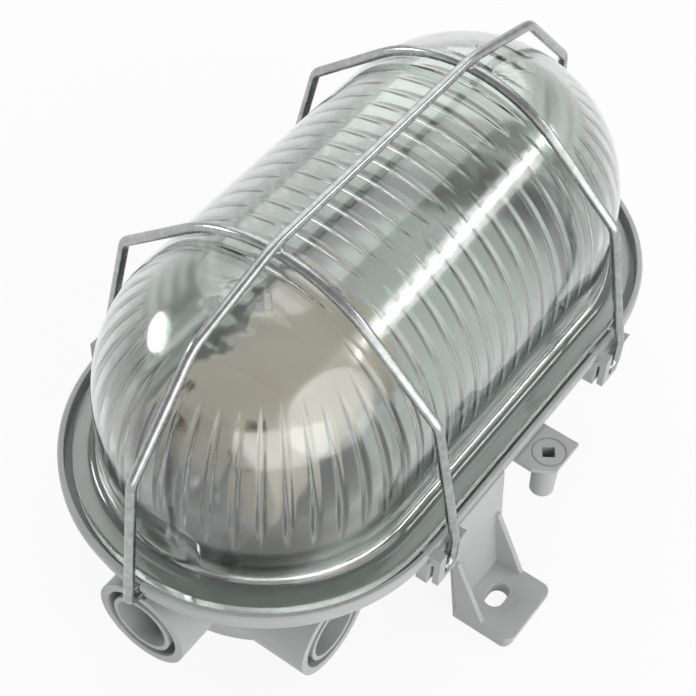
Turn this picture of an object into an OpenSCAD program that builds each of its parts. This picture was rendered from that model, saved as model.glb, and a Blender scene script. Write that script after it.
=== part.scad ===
// Oval bulkhead light with a ribbed glass dome, a hinged wire guard and two conduit entries.
// Millimetres. The back plane is z = 0, the dome looks along +Z, the long axis is X.
// The cable entries are at the -X end and on the -Y side.

/* [Plan] */
// Distance between the centres of the two round ends
straight_len = 81; // [64:1:110]
// Outer radius of the rim
rim_r = 50; // [47:0.5:56]

/* [Housing] */
// How far the tub stands inside the rim, at the back plane
tub_inset = 14.6; // [13:0.2:17]
// How much wider the tub is under the rim
tub_draft = 2.5; // [0.5:0.1:3]
// Thickness of the tub wall
wall_t = 2.2; // [1.6:0.1:2.6]
// Thickness of the tub floor
floor_t = 2.4; // [1.6:0.1:3]
// Height of the seat under the glass
seat_z = 30; // [28:0.5:34]
// Thickness of the seat
seat_t = 1.8; // [1.4:0.1:2.4]
// Height of the rim above the seat
rim_h = 4.5; // [3.5:0.1:6]
// Thickness of the rim wall
rim_t = 1.5; // [1.2:0.1:2]
// Height of the band round the rim
rim_band = 2.1; // [1.5:0.1:3]
// Depth of the step below the rim band
rim_step = 1.4; // [0.6:0.1:1.8]

/* [Cable entries] */
// Outer diameter of a conduit collar
collar_d = 25; // [24.2:0.2:26]
// Diameter of the conduit that the collar takes
conduit_d = 20; // [19:0.2:20.6]
// Bore of the inner tube
entry_bore = 14.4; // [10:0.2:14.8]
// Wall of the inner tube
tube_t = 1.2; // [0.8:0.1:1.3]
// Height of the entries above the back plane
entry_z = 12.8; // [12.6:0.1:13.4]
// How far the end entry stops short of the rim
end_setback = 1.8; // [0.6:0.2:4]
// Distance of the side entry past the centre of the round end, along X
side_offset = 21.9; // [18:0.1:23]
// How far the side entry stops short of the long side of the rim
side_setback = 13; // [10:0.2:15]

/* [Feet and ears] */
// Gap between the leg of a hoop and the foot, from the axis of the leg
foot_gap = 2.2; // [1.8:0.1:6]
// Width of a foot
foot_w = 19.1; // [17:0.1:21]
// Reach of a foot plate past the rim
foot_out = 20.2; // [18:0.2:26]
// Thickness of a foot plate
plate_t = 4.3; // [3:0.1:5]
// Width of a fixing slot
slot_w = 5; // [4.5:0.1:6]
// Length of a fixing slot
slot_len = 7.4; // [6.6:0.1:9]
// Distance of a fixing slot from the rim
slot_out = 10.1; // [9.6:0.1:12]
// Height of the gussets on a foot
gusset_h = 22; // [14:0.4:22]
// Reach of an ear past the rim
ear_reach = 9.8; // [9:0.1:13]
// Thickness of an ear
ear_t = 1.3; // [1:0.1:3]
// Diameter of the boss under an ear
ear_boss_d = 6.8; // [5.5:0.1:7.5]
// Length of the boss under an ear
ear_boss_len = 14.6; // [8:0.2:20]

/* [Glass] */
// Gap between the flange of the glass and the rim
flange_gap = 1.8; // [1.2:0.1:2.4]
// Width of the flange outside the dome
flange_w = 6.2; // [5:0.1:8]
// Height of the dome axis above the glass seat
dome_rise = 23.5; // [18:0.5:32]
// Thickness of the glass
glass_t = 2.8; // [2.4:0.1:3.2]
// Thickness of the flange
flange_t = 3.2; // [2.4:0.1:3.6]
// Thickness of the gasket
gasket_t = 1; // [0.6:0.1:2]
// Pitch of the ribs along the dome
rib_pitch = 5.8; // [5:0.1:8]
// Radius of a rib's round back
rib_r = 1.3; // [0.9:0.1:1.5]
// How far a rib stands out of the inner wall
rib_proud = 0.7; // [0.4:0.1:0.9]

/* [Wire guard] */
// Wire diameter
wire_d = 2.6; // [2:0.1:2.8]
// Distance of a hoop from the middle
hoop_x = 37.4; // [34:0.2:40]
// Gap between the crown of the dome and the axis of the hoops
crown_gap = 3.5; // [2.6:0.1:8]
// How much tighter than the dome the hoop crown is bent
crown_tight = 2.5; // [0.5:0.5:6]
// Gap between the wall of the dome and the axis of the hoop shoulders
shoulder_gap = 4; // [3.3:0.1:6]
// Height of the hoop shoulders above the dome axis
shoulder_rise = 17.5; // [14:0.5:19]
// Length of a hooked toe, from the axis of its leg
toe_len = 3.6; // [3:0.1:4.2]
// Gap between the rim and the legs of a hoop
wire_gap = 1; // [0.8:0.1:2]
// How deep the crossing wires are welded into each other
weld_sink = 0.4; // [0.2:0.1:0.6]

/* [Lamp gear] */
// Outer diameter of the lampholder
holder_d = 40; // [38:0.5:42]
// Length of the lampholder
holder_len = 48; // [44:0.5:52]
// Height of the lamp axis
lamp_z = 47; // [45:0.5:49]
// Inner diameter of the threaded shell
shell_bore = 26.8; // [26.6:0.1:27.6]
// Wall of the threaded shell
shell_t = 0.5; // [0.4:0.1:0.8]
// Thickness of the reflector sheet
sheet_t = 0.6; // [0.5:0.1:1]
// Gap between the bores of the entries and the reflector floor
pan_gap = 0.8; // [0.4:0.1:3]
// Room between the back of the lampholder and the end of the reflector floor
holder_room = 9.5; // [8:0.5:14]
// Thickness of the lampholder bracket
bracket_t = 1.5; // [1:0.1:2]
// Diameter of the internal leads
lead_d = 2.6; // [2:0.1:3]

/* [Hidden] */
$fn = 64;

eps = 0.01;
clear = 0.3;
flush = 0.05;
half_len = straight_len / 2;
wire_r = wire_d / 2;

// Housing section
rim_top = seat_z + rim_h;
seat_under = seat_z - seat_t;
rim_band_z = rim_top - rim_band;
rim_in = rim_r - rim_t;
rim_edge = 0.5;
ledge_r = rim_r - rim_step;
tub_r = rim_r - tub_inset;
tub_top_r = tub_r + tub_draft;
tub_top_in = tub_top_r - wall_t;

// Glass section
glass_z = seat_z + gasket_t;
flange_top = glass_z + flange_t;
axis_z = glass_z + dome_rise;
flange_r = rim_in - flange_gap;
dome_r = flange_r - flange_w;
dome_in = dome_r - glass_t;
flange_edge = 0.6;
foot_flare = 3.2;
gasket_lap = 2.6;
gasket_inset = 0.2;
rib_fade = 0.1;
rib_foot = 8;
rib_short = 16;
rib_mid = dome_in + rib_r - rib_proud;
rib_end = dome_in + rib_r - rib_fade;
crown_half = 24;
wall_top = 44.5;
wall_top_long = 59.5;
end_ribs = 20;
bays = floor(half_len / rib_pitch - 0.75);
last_bay = (bays + 0.75) * rib_pitch;

// Feet
foot_reach = rim_r + foot_out;
slot_y = rim_r + slot_out;

// Lugs that take the hooked toes of the guard
toe_y = rim_r + wire_gap + wire_r;
toe_z = seat_z - 2.4;
toe_room = toe_len + clear;
block_w = 2.7;
post_x = wire_r + 1.3;
post_w = 1.5;
lug_out = toe_y + 0.8;
lug_in = toe_y - wire_r - clear;
lug_root = ledge_r - 1;
lug_floor = toe_z - wire_r - clear;
lug_base = lug_floor - 1.6;
lug_top = rim_top - 0.2;

// Guard
crown_z = axis_z + dome_r + crown_gap;
crown_r = dome_r - crown_tight;
shoulder_y = dome_r + shoulder_gap;
shoulder_z = axis_z + shoulder_rise;
bend_r = 5;
toe_bend = 2.6;
toe_tip_gap = 0.3;
bend_skin = 0.02;
bend_lap = 0.15;
spine_z = crown_z + wire_d - weld_sink;
spine_drop_x = hoop_x + 0.8;
hip_x = half_len + dome_r - 15.7;
hip_z = axis_z + dome_r - 2;
knee_x = half_len + dome_r + 6.3;
knee_z = axis_z + 13.6;
spine_toe_x = half_len + rim_r + 1.5;
spine_toe_z = entry_z + collar_d / 2 + wire_r - 0.2;
spine_tip_x = half_len + flange_r + toe_tip_gap + flush + 0.05;
notch_half = 2.4;
notch_in = spine_tip_x - toe_tip_gap;
collar_notch = wire_r + clear + flush;
notch_floor = spine_toe_z - wire_r - clear;

// Cable entries
collar_in = conduit_d / 2 + 0.3;
tube_out = entry_bore / 2 + tube_t;
end_mouth = half_len + rim_r - end_setback;
side_x = half_len + side_offset;
side_mouth = rim_r - side_setback;

// Lamp gear
pan_z = entry_z + entry_bore / 2 + pan_gap;
pan_seat_r = dome_in - clear;
pan_top_r = tub_top_in - sheet_t - 0.7;
pan_floor_r = pan_top_r - 3.4;
holder_back = half_len + pan_floor_r - holder_room;
holder_mouth = holder_back - holder_len;
holder_r = holder_d / 2;
holder_edge = 1.5;
rear_block = 15;
contact_depth = 3.6;
contact_hole_r = 6.5;
shell_r = shell_bore / 2;
shell_back = holder_back - rear_block - 1;
shell_len = 28;
mouth_depth = 3;
terminal_y = 9;
terminal_rise = 10;
pocket_r = 3.3;
pocket_len = rear_block - 3;
clamp_at = holder_back - 4.5;
bracket_foot_z = pan_z + sheet_t;
bracket_w = 17;
bracket_toe = 14;
bracket_screw_x = holder_back - 9;
bracket_screw_y = 4.4;
holder_screw_z = lamp_z - 9;
holder_screw_y = 5;
holder_screw_len = 6;
screw_room = 0.2;
lead_room = 0.9;
far_boss_x = half_len + 9;
far_boss_y = 11;
boss_d = 6;
screw_r = 1.5;
head_r = 3;
head_h = 2;

// Terminal strip
strip_x = 14;
strip_len = 20;
strip_w = 18;
strip_h = 10.5;
chimney_h = 2.5;
screw_bite = 1.4;
pole_y = 4.5;
pole_z = floor_t + 5.4;
tube_r = 2.3;
clamp_r = 1.3;
clamp_len = 4;
lead_end = 6;
clamp_x = 6;
lead_r = lead_d / 2;
lead_rise_x = holder_back + 5;
lead_bend = 5;
lead_top_bend = 3.5;

// Solid with the oval plan: the children give the section, with the radius along X
module oval(start_half = -half_len, end_half = half_len) {
    translate([start_half, 0, 0]) rotate_extrude(angle = 180, start = 90) children();
    translate([end_half, 0, 0]) rotate_extrude(angle = 180, start = -90) children();
    translate([start_half, 0, 0]) rotate([90, 0, 90]) linear_extrude(end_half - start_half) {
        children();
        mirror([1, 0]) children();
    }
}

// Tray section: floor, drafted tub wall, seat and rim
module tray_section() {
    polygon([
        [0, 0], [tub_r, 0], [tub_top_r, seat_under], [ledge_r, seat_under], [ledge_r, rim_band_z],
        [rim_r, rim_band_z], [rim_r, rim_top - rim_edge], [rim_r - rim_edge, rim_top],
        [rim_in, rim_top], [rim_in, seat_z], [tub_top_in, seat_z],
        [tub_r - wall_t, floor_t], [0, floor_t]
    ]);
}

// Straight cylinder between two heights on one axis
module post(x, y, z0, z1, r) {
    translate([x, y, z0]) cylinder(h = z1 - z0, r = r);
}

// Lug on the -Y side for a toe of the guard, with its leg at x: hanging block, back, floor and rear post
module lug(x) {
    block_x = x - toe_room - block_w;
    post_out = x + post_x + post_w;
    leaf_t = 1.7;
    translate([block_x, 0, 0]) rotate([90, 0, 90]) linear_extrude(block_w)
        polygon([[-lug_out, lug_base], [-lug_out, lug_top], [-lug_root, lug_top], [-lug_root, seat_z + 1],
            [-lug_out + leaf_t, seat_z + 1], [-lug_out + leaf_t, lug_base]]);
    translate([block_x - 1.2, -lug_in, lug_base + 0.4])
        cube([post_out - block_x + 0.9, lug_in - lug_root, rim_band_z - lug_base]);
    translate([0, 0, lug_base]) linear_extrude(lug_floor - lug_base)
        polygon([[x - toe_room - eps, -lug_root], [x - toe_room - eps, -lug_out], [x + wire_r / 2, -lug_out],
            [post_out - 0.2, -lug_in - 0.2], [post_out - 0.2, -lug_root]]);
    translate([x + post_x, 0, 0]) rotate([90, 0, 90]) linear_extrude(post_w)
        polygon([[-lug_root, lug_base + 0.2], [-lug_in, lug_base + 0.2], [-lug_out + 1.7, lug_floor + 1.6],
            [-lug_out - 0.1, lug_top + 0.9], [-lug_root - 1.6, lug_top], [-lug_root, lug_top]]);
}

// Fixing foot on the -Y side: leaning wall, plate and two gussets
module foot() {
    lean = 8;
    gusset_t = 1.4;
    gusset_out = 1.6;
    foot_wall = 1.5;
    edge_r = 3;
    wall_y = rim_r + 5.3;
    wall_top_z = rim_top - 0.9;
    top_spread = 3.2;
    inset = 0.2;
    x0 = -hoop_x + foot_gap;
    x1 = x0 + foot_w;
    gusset_y = -wall_y + gusset_h * tan(lean);
    difference() {
        union() {
            intersection() {
                translate([0, -wall_y, 0]) rotate([90 - lean, 0, 0]) translate([0, 0, -foot_wall])
                    linear_extrude(foot_wall)
                        polygon([[x0 + inset, -rim_h], [x1 - inset, -rim_h], [x1 - inset, plate_t],
                            [x1 + top_spread, rim_top], [x0 + inset, rim_top]]);
                translate([x0, -foot_reach, 0.2]) cube([foot_w + 2 + top_spread, foot_reach, wall_top_z - 0.2]);
            }
            intersection() {
                translate([x0, 0, 0]) rotate([90, 0, 90]) linear_extrude(foot_w) {
                    translate([-foot_reach + edge_r, 0]) square([foot_reach - wall_y - edge_r + foot_wall, plate_t]);
                    translate([-foot_reach + edge_r, edge_r]) circle(edge_r);
                    translate([-foot_reach, edge_r]) square([edge_r + eps, plate_t - edge_r]);
                }
                linear_extrude(plate_t) foot_plan(x0, wall_y);
            }
            for (gx = [x0, x1 - gusset_t])
                translate([gx, 0, 0]) rotate([90, 0, 90]) linear_extrude(gusset_t)
                    polygon([[-wall_y + 1, plate_t - 1], [-slot_y - gusset_out, plate_t - 1],
                        [-slot_y - gusset_out, plate_t], [gusset_y - 0.8, gusset_h], [gusset_y + 1, gusset_h]]);
        }
        translate([(x0 + x1) / 2, -slot_y, -1]) slot_cut(plate_t + 2);
        translate([(x0 + x1) / 2, -slot_y, plate_t - 0.6])
            cylinder(h = 0.6 + eps, r1 = slot_w / 2 + 0.8, r2 = slot_w / 2 + 4);
        translate([x0 - 5, -foot_reach - 1, -6]) cube([foot_w + 12, foot_reach, 6]);
    }
}

// Plan of the foot plate with rounded outer corners
module foot_plan(x0, wall_y) {
    corner_r = 2.4;
    translate([x0, -foot_reach + corner_r]) square([foot_w, foot_reach - wall_y + 3]);
    translate([x0 + corner_r, -foot_reach]) square([foot_w - 2 * corner_r, 2 * corner_r]);
    for (cx = [x0 + corner_r, x0 + foot_w - corner_r])
        translate([cx, -foot_reach + corner_r]) circle(corner_r);
}

module slot_cut(h) {
    half = (slot_len - slot_w) / 2;
    translate([-half, -slot_w / 2, 0]) cube([2 * half, slot_w, h]);
    for (side = [-1, 1]) translate([side * half, 0, 0]) cylinder(h = h, r = slot_w / 2);
}

// Ear on the -Y side with a tapered boss, a square socket and a shallow ring round it
module ear() {
    half = 6.7;
    ear_top = rim_top - 3.1;
    ear_out = rim_r + ear_reach;
    boss_y = rim_r + ear_reach / 2 + 0.3;
    boss_taper = 0.35;
    square_side = 3.1;
    square_turn = 35;
    ring_r = 4.4;
    ring_w = 0.4;
    ring_depth = 0.2;
    difference() {
        union() {
            translate([0, 0, ear_top - ear_t]) linear_extrude(ear_t)
                polygon([[-half, -lug_root], [half, -lug_root], [half, -ear_out], [-half + 2.9, -ear_out],
                    [-half - 0.2, -ear_out + 5.2]]);
            translate([0, -boss_y, ear_top - ear_boss_len])
                cylinder(h = ear_boss_len - ring_depth - 0.2, r1 = ear_boss_d / 2 - boss_taper, r2 = ear_boss_d / 2);
        }
        translate([0, -boss_y, ear_top - ear_boss_len + 3]) rotate([0, 0, square_turn])
            translate([-square_side / 2, -square_side / 2, 0]) cube([square_side, square_side, ear_boss_len]);
        translate([0, -boss_y, ear_top - ring_depth]) difference() {
            cylinder(h = 1, r = ring_r);
            translate([0, 0, -1]) cylinder(h = 3, r = ring_r - ring_w);
        }
    }
}

// Catch at the +X end that takes the rear toe of the long wire
module rear_catch() {
    catch_w = 9;
    catch_h = 6;
    top = entry_z + collar_d / 2;
    x0 = half_len + tub_r - wall_t;
    translate([x0, -catch_w / 2, top - catch_h]) cube([end_mouth - x0, catch_w, catch_h]);
    for (side = [-1, 1]) translate([0, side * (catch_w / 2 - 1) + 1, 0]) rotate([90, 0, 0]) linear_extrude(2)
        polygon([[x0, 4], [x0 + 4, 4], [end_mouth, top - catch_h], [x0, top - catch_h]]);
}

module toe_notches() {
    for (side = [-1, 1]) {
        translate([side > 0 ? notch_in : -notch_in - rim_r, -notch_half, seat_under - 1])
            cube([rim_r, 2 * notch_half, rim_h + seat_t + 2]);
        translate([side > 0 ? notch_in - toe_tip_gap : -notch_in + toe_tip_gap - rim_r, -collar_notch, notch_floor])
            cube([rim_r, 2 * collar_notch, seat_under - notch_floor]);
    }
}

// Room for the rear toe of the far side in the wall of the far foot
module far_toe_relief() {
    translate([hoop_x - toe_room + flush, toe_y, toe_z]) rotate([0, 90, 0])
        cylinder(h = toe_room + wire_r - flush, r = wire_r + clear - flush);
}

// Collar with its inner tube, from the mouth at z = 0; the tub wall closes the socket between them
module entry_socket(len) {
    difference() {
        cylinder(h = len, r = collar_d / 2);
        difference() {
            translate([0, 0, -1]) cylinder(h = len + 2, r = collar_in);
            translate([0, 0, -2]) cylinder(h = len + 4, r = tube_out);
        }
    }
}

// Solid oval that ends in the middle of the tub wall
module tub_plug() {
    half_wall = wall_t / 2;
    oval() polygon([[0, -1], [tub_r - half_wall, -1], [tub_top_r - half_wall, seat_under],
        [tub_top_r - half_wall, seat_z], [0, seat_z]]);
}

module housing() {
    end_len = end_mouth - half_len - 20;
    side_len = side_mouth - 12;
    color("#a9aeae") difference() {
        union() {
            oval() tray_section();
            difference() {
                union() {
                    translate([-end_mouth, 0, entry_z]) rotate([0, 90, 0]) entry_socket(end_len);
                    translate([-side_x, -side_mouth, entry_z]) rotate([-90, 0, 0]) entry_socket(side_len);
                    rear_catch();
                }
                tub_plug();
            }
            for (x = [-hoop_x, hoop_x], flip = [0, 1]) mirror([0, flip, 0]) lug(x);
            for (turn = [0, 180]) rotate([0, 0, turn]) {
                foot();
                ear();
            }
            for (side = [-1, 1]) post(-bracket_screw_x, side * bracket_screw_y, floor_t - eps, pan_z, boss_d / 2);
            post(far_boss_x, far_boss_y, floor_t - eps, pan_z, boss_d / 2);
        }
        toe_notches();
        far_toe_relief();
        translate([-end_mouth - 1, 0, entry_z]) rotate([0, 90, 0]) cylinder(h = end_len, r = entry_bore / 2);
        translate([-side_x, -side_mouth - 1, entry_z]) rotate([-90, 0, 0])
            cylinder(h = side_len, r = entry_bore / 2);
        for (side = [-1, 1])
            post(-bracket_screw_x, side * bracket_screw_y, floor_t, pan_z + 1, screw_r + flush);
        post(far_boss_x, far_boss_y, floor_t, pan_z + 1, screw_r + flush);
        post(strip_x, 0, floor_t - screw_bite, floor_t + 1, screw_r + flush);
    }
}

module gasket() {
    color("#2b2d2e") translate([0, 0, seat_z]) oval()
        translate([dome_in + gasket_lap, 0]) square([flange_r - dome_in - gasket_lap - gasket_inset, gasket_t]);
}

// Glass section: flange, flared foot, wall and quarter-round crown
module glass_section() {
    wall_h = axis_z - glass_z;
    difference() {
        union() {
            translate([dome_in, glass_z]) square([flange_r - dome_in - flange_edge, flange_t]);
            translate([flange_r - flange_edge - eps, glass_z]) square([flange_edge + eps, flange_t - flange_edge]);
            translate([flange_r - flange_edge, flange_top - flange_edge]) circle(flange_edge);
            translate([dome_in, glass_z]) square([glass_t, wall_h]);
            difference() {
                translate([dome_r - eps, flange_top - eps]) square([foot_flare, foot_flare]);
                translate([dome_r + foot_flare, flange_top + foot_flare]) circle(foot_flare);
            }
            intersection() {
                translate([0, axis_z]) circle(dome_r);
                translate([0, axis_z - eps]) square([dome_r, dome_r + 1]);
            }
        }
        translate([0, axis_z]) circle(dome_in);
        translate([-1, glass_z - 1]) square([dome_in + 1, wall_h + 1]);
    }
}

// A rib is part of a ring that stands proud by rib_proud at its middle. Its centre is set back so that
// the rib has run out into the wall at an angle of e from the middle
function rib_setback(e) = (rib_end * rib_end - rib_mid * rib_mid)
    / (2 * (rib_mid - rib_end * cos(max(e, rib_short))));
function rib_reach(e) = atan2(rib_end * sin(e), rib_end * cos(e) + rib_setback(e));

// Ring part of a rib in its own XZ plane, from angle e0 to e1 about its middle at the elevation mid
module ring_rib(mid, e0, e1) {
    setback = rib_setback(e1);
    a0 = e0 < 0 ? -rib_reach(e1) : 0;
    rotate([0, -mid, 0]) translate([-setback, 0, 0]) rotate([90, 0, 0])
        rotate_extrude(angle = rib_reach(e1) - a0, start = a0)
            translate([rib_mid + setback, 0]) circle(rib_r + bend_skin, $fn = 24);
}

// Rib that leans out of the upright wall below the axis and runs on over the round part
module wall_rib(top) {
    lean = atan2(rib_proud - rib_fade, rib_foot);
    ring_rib(0, 0, top);
    translate([rib_end, 0, -rib_foot]) rotate([0, -lean, 0])
        cylinder(h = rib_foot / cos(lean) + bend_lap, r = rib_r, $fn = 24);
}

module crown_rib(x) {
    translate([x, 0, axis_z]) rotate([0, 0, 90]) ring_rib(90, -crown_half, crown_half);
}

module side_ribs(x) {
    for (turn = [-90, 90]) translate([x, 0, axis_z]) rotate([0, 0, turn]) wall_rib(wall_top_long);
}

module straight_wall(x0, x1) {
    translate([x0, 0, 0]) rotate([90, 0, 90]) linear_extrude(x1 - x0) {
        glass_section();
        mirror([1, 0]) glass_section();
    }
}

// Round end at +X: meridian ribs, and three short crown ribs
module glass_end() {
    straight_wall(last_bay, half_len);
    translate([half_len, 0, 0]) rotate_extrude(angle = 180, start = -90) glass_section();
    translate([half_len, 0, axis_z]) {
        for (i = [0 : end_ribs]) {
            upper = min(i, end_ribs - i) == 0 ? wall_top_long : wall_top;
            rotate([0, 0, -90 + i * 180 / end_ribs]) wall_rib(upper);
        }
        for (i = [1 : 3]) {
            half = crown_half - 2 - 5 * i;
            rotate([0, asin(i * rib_pitch / dome_in), 0]) rotate([0, 0, 90]) ring_rib(90, -half, half);
        }
    }
}

// Dome built bay by bay: each bay holds one crown rib and one pair of side ribs
module glass_dome() {
    color([0.82, 0.9, 0.88, 0.4]) {
        for (i = [-bays : bays]) {
            straight_wall((i - 0.25) * rib_pitch, (i + 0.75) * rib_pitch);
            crown_rib((i + 0.5) * rib_pitch);
            side_ribs(i * rib_pitch);
        }
        straight_wall(-last_bay, -(bays + 0.25) * rib_pitch);
        crown_rib(-(bays + 0.5) * rib_pitch);
        for (end = [0, 1]) mirror([end, 0, 0]) glass_end();
    }
}

// Rod between two points of a plane path
module rod(p, q) {
    d = q - p;
    translate([p[0], p[1], 0]) rotate([0, 0, atan2(d[1], d[0])]) rotate([0, 90, 0])
        cylinder(h = norm(d), r = wire_r, $fn = 32);
}

function unit(v) = v / norm(v);
function turn_of(p, c, q) = let (u = unit(c - p), v = unit(q - c)) atan2(u[0] * v[1] - u[1] * v[0], u * v);
function trim(p, c, q, r) = r * tan(abs(turn_of(p, c, q)) / 2);

// Part of a ring of wire, a hair thicker than a rod so that the rods run into it
module ring_piece(r, start, angle) {
    rotate_extrude(angle = angle, start = start) translate([r, 0]) circle(wire_r + bend_skin, $fn = 32);
}

// Bend of radius r at corner c, between the directions from p and towards q
module bend(p, c, q, r) {
    turn = turn_of(p, c, q);
    u = unit(c - p);
    side = turn > 0 ? 1 : -1;
    start = c - u * trim(p, c, q, r);
    spoke = side * [-u[1], u[0]];
    centre = start + r * spoke;
    first = atan2(-spoke[1], -spoke[0]);
    translate([centre[0], centre[1], 0]) ring_piece(r, side > 0 ? first : first + turn, abs(turn));
}

// Bent wire along a plane path: straight rods, with a bend of radius rs[i] at each inner corner.
// end_lap lengthens both ends of the wire
module bent_wire(pts, rs, end_lap) {
    last = len(pts) - 1;
    for (i = [0 : last - 1]) {
        p = pts[i];
        q = pts[i + 1];
        u = unit(q - p);
        t0 = i > 0 ? trim(pts[i - 1], p, q, rs[i]) - bend_lap : -end_lap;
        t1 = i < last - 1 ? trim(p, q, pts[i + 2], rs[i + 1]) - bend_lap : -end_lap;
        rod(p + u * t0, q - u * t1);
    }
    for (i = [1 : last - 1]) bend(pts[i - 1], pts[i], pts[i + 1], rs[i]);
}

// Hoop in the YZ plane, with both toes bent towards -X
module hoop() {
    crown_c = crown_z - crown_r;
    reach = norm([shoulder_y, shoulder_z - crown_c]);
    lean = atan2(shoulder_z - crown_c, shoulder_y) + acos(crown_r / reach);
    apex = crown_c + crown_r / sin(lean);
    leg_z = toe_z + toe_bend;
    hip = [toe_y, rim_top + 1.5];
    rotate([90, 0, 90]) bent_wire(
        [[-toe_y, leg_z], [-hip[0], hip[1]], [-shoulder_y, shoulder_z], [0, apex], [shoulder_y, shoulder_z],
            hip, [toe_y, leg_z]],
        [0, bend_r, bend_r, crown_r, bend_r, bend_r, 0], bend_lap);
    for (side = [-1, 1]) translate([-toe_bend, side * toe_y, leg_z]) {
        rotate([90, 0, 0]) ring_piece(toe_bend, 270, 90);
        translate([toe_bend - toe_len, 0, -toe_bend]) rotate([0, 90, 0])
            cylinder(h = toe_len - toe_bend + bend_lap, r = wire_r, $fn = 32);
    }
}

module guard_front_hoop() {
    color("silver") translate([-hoop_x, 0, 0]) hoop();
}

module guard_rear_hoop() {
    color("silver") translate([hoop_x, 0, 0]) hoop();
}

module guard_long_wire() {
    half_path = [[spine_drop_x, spine_z], [hip_x, hip_z], [knee_x, knee_z], [spine_toe_x, spine_toe_z],
        [spine_tip_x, spine_toe_z]];
    left_path = [for (i = [4 : -1 : 0]) [-half_path[i][0], half_path[i][1]]];
    color("silver") rotate([90, 0, 0])
        bent_wire(concat(left_path, half_path), [0, toe_bend, bend_r, 8, 20, 20, 8, bend_r, toe_bend, 0], 0);
}

// Dished sheet under the lamp, with holes for its screws and the leads
module reflector() {
    color("#c9cccd") difference() {
        oval() {
            translate([pan_top_r, seat_z]) square([pan_seat_r - pan_top_r, sheet_t]);
            polygon([[pan_floor_r, pan_z], [pan_top_r + sheet_t, seat_z], [pan_top_r + sheet_t, seat_z + sheet_t],
                [pan_top_r - eps, seat_z + sheet_t], [pan_floor_r - sheet_t, pan_z + sheet_t], [0, pan_z + sheet_t],
                [0, pan_z]]);
        }
        for (side = [-1, 1]) {
            post(-bracket_screw_x, side * bracket_screw_y, pan_z - 1, pan_z + 2, screw_r + screw_room);
            post(-lead_rise_x, side * terminal_y, pan_z - 1, pan_z + 2, lead_r + lead_room);
        }
        post(far_boss_x, far_boss_y, pan_z - 1, pan_z + 2, screw_r + screw_room);
    }
}

// Pan-head screw that stands on z = 0 of its head seat, with a cross recess
module pan_screw(shank, r = screw_r, hr = head_r, hh = head_h) {
    slot_t = 0.7;
    difference() {
        union() {
            cylinder(h = hh, r = hr, $fn = 32);
            translate([0, 0, -shank]) cylinder(h = shank + eps, r = r, $fn = 32);
        }
        for (turn = [0, 90]) rotate([0, 0, turn])
            translate([-hr * 0.6, -slot_t / 2, hh - 1]) cube([hr * 1.2, slot_t, 2]);
    }
}

module reflector_screw() {
    color("#b9bcc0") translate([far_boss_x, far_boss_y, pan_z + sheet_t]) pan_screw(pan_z - floor_t - 1);
}

module bracket_screws() {
    color("#b9bcc0") for (side = [-1, 1])
        translate([-bracket_screw_x, side * bracket_screw_y, bracket_foot_z + bracket_t]) pan_screw(pan_z - floor_t);
}

// Porcelain body: rear block, waisted cup, terminal pockets, contact recess and screw holes
module lampholder() {
    cup_r = holder_r - 1.2;
    lip_r = cup_r + 0.8;
    lip_len = 3;
    mouth_r = shell_r + shell_t + 0.6;
    color("#d9cdb8") difference() {
        translate([-holder_back, 0, lamp_z]) rotate([0, 90, 0]) rotate_extrude() {
            square([holder_r - holder_edge, rear_block]);
            translate([holder_r - holder_edge - eps, holder_edge])
                square([holder_edge + eps, rear_block - 2 * holder_edge]);
            translate([holder_r - holder_edge, holder_edge]) circle(holder_edge);
            translate([holder_r - holder_edge, rear_block - holder_edge]) circle(holder_edge);
            polygon([[0, rear_block - 1], [cup_r - 1, rear_block - 1], [cup_r - 1, rear_block + holder_edge],
                [cup_r, holder_len - lip_len], [lip_r, holder_len - lip_len + 1], [lip_r, holder_len - 0.5],
                [lip_r - 0.5, holder_len], [0, holder_len]]);
        }
        translate([-shell_back, 0, lamp_z]) rotate([0, 90, 0])
            cylinder(h = holder_len, r = shell_r + shell_t + flush);
        translate([-shell_back - contact_depth, 0, lamp_z]) rotate([0, 90, 0])
            cylinder(h = contact_depth + 1, r = contact_hole_r);
        translate([-holder_mouth - mouth_depth, 0, lamp_z]) rotate([0, 90, 0])
            cylinder(h = mouth_depth + 1, r = mouth_r);
        for (side = [-1, 1]) {
            translate([-holder_back - 1, side * terminal_y, lamp_z + terminal_rise]) rotate([0, 90, 0])
                cylinder(h = pocket_len + 1, r = pocket_r);
            post(-clamp_at, side * terminal_y, lamp_z + terminal_rise, lamp_z + holder_r + 1, clamp_r + 0.5);
            translate([-holder_back - 1, side * holder_screw_y, holder_screw_z]) rotate([0, 90, 0])
                cylinder(h = holder_screw_len + 2, r = screw_r + flush);
        }
    }
}

// Plain sleeve whose inner radius is that of the lamp thread
module lampholder_shell() {
    color("#c8b98e") translate([-shell_back, 0, lamp_z]) rotate([0, 90, 0]) difference() {
        cylinder(h = shell_len, r = shell_r + shell_t);
        translate([0, 0, -1]) cylinder(h = shell_len + 2, r = shell_r);
    }
}

// Bent strip in the recess behind the shell, with its tongue just short of the back of the shell
module centre_contact() {
    strip_t = 0.6;
    tongue_w = 5;
    tongue_h = 8;
    rise = contact_depth - clear;
    color("#c9a24a") translate([-shell_back - contact_depth, -tongue_w / 2, lamp_z - tongue_h / 2]) {
        cube([strip_t, tongue_w, tongue_h]);
        translate([strip_t - eps, 0, 0]) cube([rise - 2 * strip_t + 2 * eps, tongue_w, strip_t]);
        translate([rise - strip_t, 0, 0]) cube([strip_t, tongue_w, tongue_h * 0.8]);
    }
}

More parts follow.
